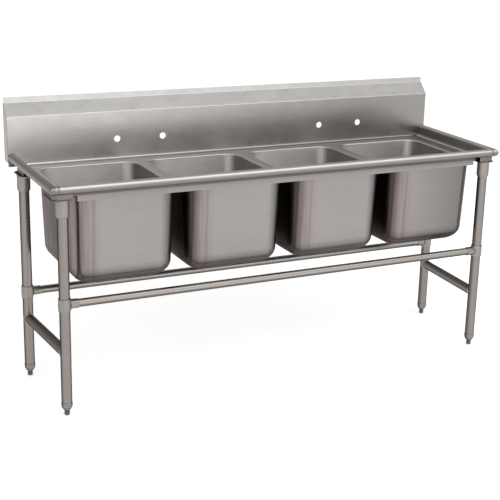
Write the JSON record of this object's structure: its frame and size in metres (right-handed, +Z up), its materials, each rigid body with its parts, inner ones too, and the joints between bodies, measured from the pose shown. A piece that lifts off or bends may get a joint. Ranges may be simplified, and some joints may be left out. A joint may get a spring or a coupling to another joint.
{
  "type": "compartment sink",
  "caption": "Commercial stainless compartment sink with deep drawn bowls in a rolled-rim pan, a backsplash with faucet holes, and a braced tubular leg frame with adjustable feet.",
  "frame": {"origin": "on the floor, under the centre of the sink's box", "axes": "+X along the length, +Y towards the wall, +Z up"},
  "size_m": [2, 0.645, 1.133],
  "materials": {
    "sheet": "brushed stainless sheet with a fine lengthwise grain",
    "bowl": "drawn stainless bowl, satin",
    "tube": "polished stainless tube",
    "socket": "stainless sockets and fittings, welded and ground",
    "screw": "dark steel set screws",
    "drain": "polished stainless drain and basket",
    "locknut": "zinc plated locknut",
    "gasket": "black rubber seal",
    "foot": "dark metal foot"
  },
  "bodies": {
    "sink": {"sink_top": "sheet", "front_channel": "sheet", "backsplash": "sheet", "splash_end_cap_left": "sheet", "splash_end_cap_right": "sheet", "bowl_1": "bowl", "drain_body_1": "drain", "drain_gasket_1": "gasket", "drain_locknut_1": "locknut", "bowl_2": "bowl", "drain_body_2": "drain", "drain_gasket_2": "gasket", "drain_locknut_2": "locknut", "bowl_3": "bowl", "drain_body_3": "drain", "drain_gasket_3": "gasket", "drain_locknut_3": "locknut", "bowl_4": "bowl", "drain_body_4": "drain", "drain_gasket_4": "gasket", "drain_locknut_4": "locknut", "leg_socket_front_left": "socket", "socket_screw_front_left": "screw", "leg_front_left": "tube", "rail_fitting_front_left": "socket", "fitting_screw_front_left": "screw", "foot_insert_front_left": "tube", "leg_socket_front_right": "socket", "socket_screw_front_right": "screw", "leg_front_right": "tube", "rail_fitting_front_right": "socket", "fitting_screw_front_right": "screw", "foot_insert_front_right": "tube", "leg_socket_rear_left": "socket", "socket_screw_rear_left": "screw", "leg_rear_left": "tube", "rail_fitting_rear_left": "socket", "fitting_screw_rear_left": "screw", "foot_insert_rear_left": "tube", "leg_socket_rear_right": "socket", "socket_screw_rear_right": "screw", "leg_rear_right": "tube", "rail_fitting_rear_right": "socket", "fitting_screw_rear_right": "screw", "foot_insert_rear_right": "tube", "side_rail_left": "tube", "side_rail_right": "tube", "front_rail": "tube", "rear_rail": "tube"},
    "adjuster_front_left": {"foot_front_left": "foot"},
    "adjuster_front_right": {"foot_front_right": "foot"},
    "adjuster_rear_left": {"foot_rear_left": "foot"},
    "adjuster_rear_right": {"foot_rear_right": "foot"},
    "basket_1": {"strainer_basket_1": "drain"},
    "basket_2": {"strainer_basket_2": "drain"},
    "basket_3": {"strainer_basket_3": "drain"},
    "basket_4": {"strainer_basket_4": "drain"}
  },
  "joints": [
    {"name": "foot_adjust_front_left", "type": "slide", "parent": "sink", "child": "adjuster_front_left", "axis": [0, 0, -1], "range_m": [-0.02, 0.008]},
    {"name": "foot_adjust_front_right", "type": "slide", "parent": "sink", "child": "adjuster_front_right", "axis": [0, 0, -1], "range_m": [-0.02, 0.008]},
    {"name": "foot_adjust_rear_left", "type": "slide", "parent": "sink", "child": "adjuster_rear_left", "axis": [0, 0, -1], "range_m": [-0.02, 0.008]},
    {"name": "foot_adjust_rear_right", "type": "slide", "parent": "sink", "child": "adjuster_rear_right", "axis": [0, 0, -1], "range_m": [-0.02, 0.008]},
    {"name": "basket_lift_1", "type": "slide", "parent": "sink", "child": "basket_1", "axis": [0, 0, 1], "range_m": [0, 0.46]},
    {"name": "basket_lift_2", "type": "slide", "parent": "sink", "child": "basket_2", "axis": [0, 0, 1], "range_m": [0, 0.46]},
    {"name": "basket_lift_3", "type": "slide", "parent": "sink", "child": "basket_3", "axis": [0, 0, 1], "range_m": [0, 0.46]},
    {"name": "basket_lift_4", "type": "slide", "parent": "sink", "child": "basket_4", "axis": [0, 0, 1], "range_m": [0, 0.46]}
  ]
}
